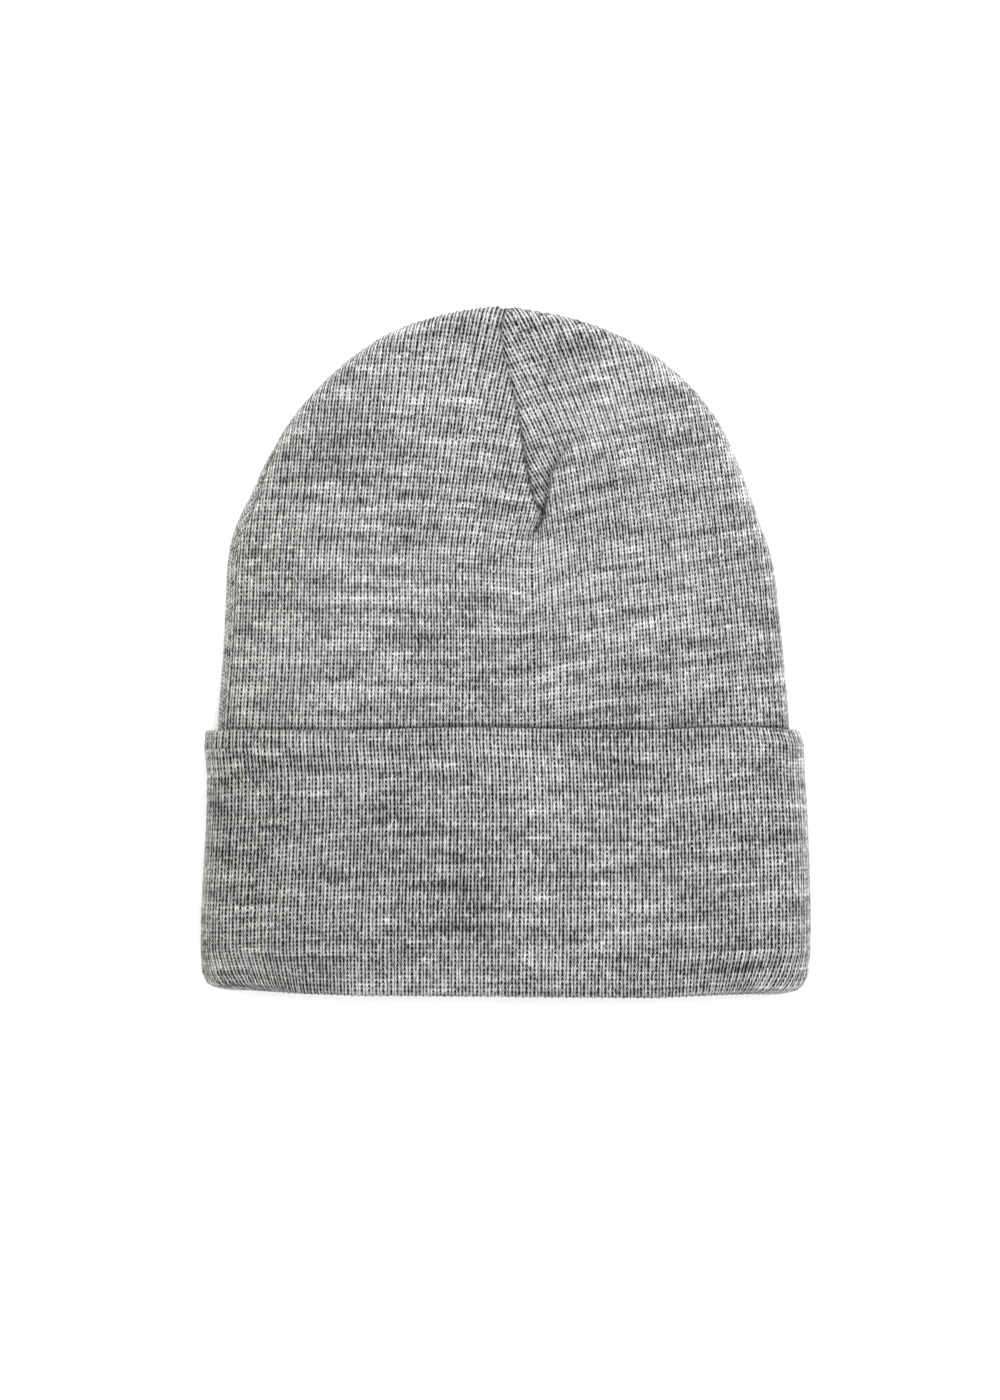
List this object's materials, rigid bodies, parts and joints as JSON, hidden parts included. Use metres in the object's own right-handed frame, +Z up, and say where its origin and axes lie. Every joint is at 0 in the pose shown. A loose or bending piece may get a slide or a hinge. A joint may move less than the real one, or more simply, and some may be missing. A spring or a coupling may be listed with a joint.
{
  "type": "knit cap",
  "caption": "Rib-knit cap lying flat, with a domed crown gathered by darts, an open head hollow and a deep turned-up cuff.",
  "frame": {"origin": "bottom centre of the box round the cap as it lies, on the floor under its middle", "axes": "+X across the cap to the right, +Y from the cuff's bottom turn to the crown's tip, +Z up from the floor through the front of the cap"},
  "size_m": [0.2016, 0.2284, 0.017],
  "materials": {
    "rib_knit": "matt heather grey 1x1 rib knit in soft acrylic yarn"
  },
  "bodies": {
    "root": {"crown_body": "rib_knit", "cuff": "rib_knit"}
  },
  "joints": []
}
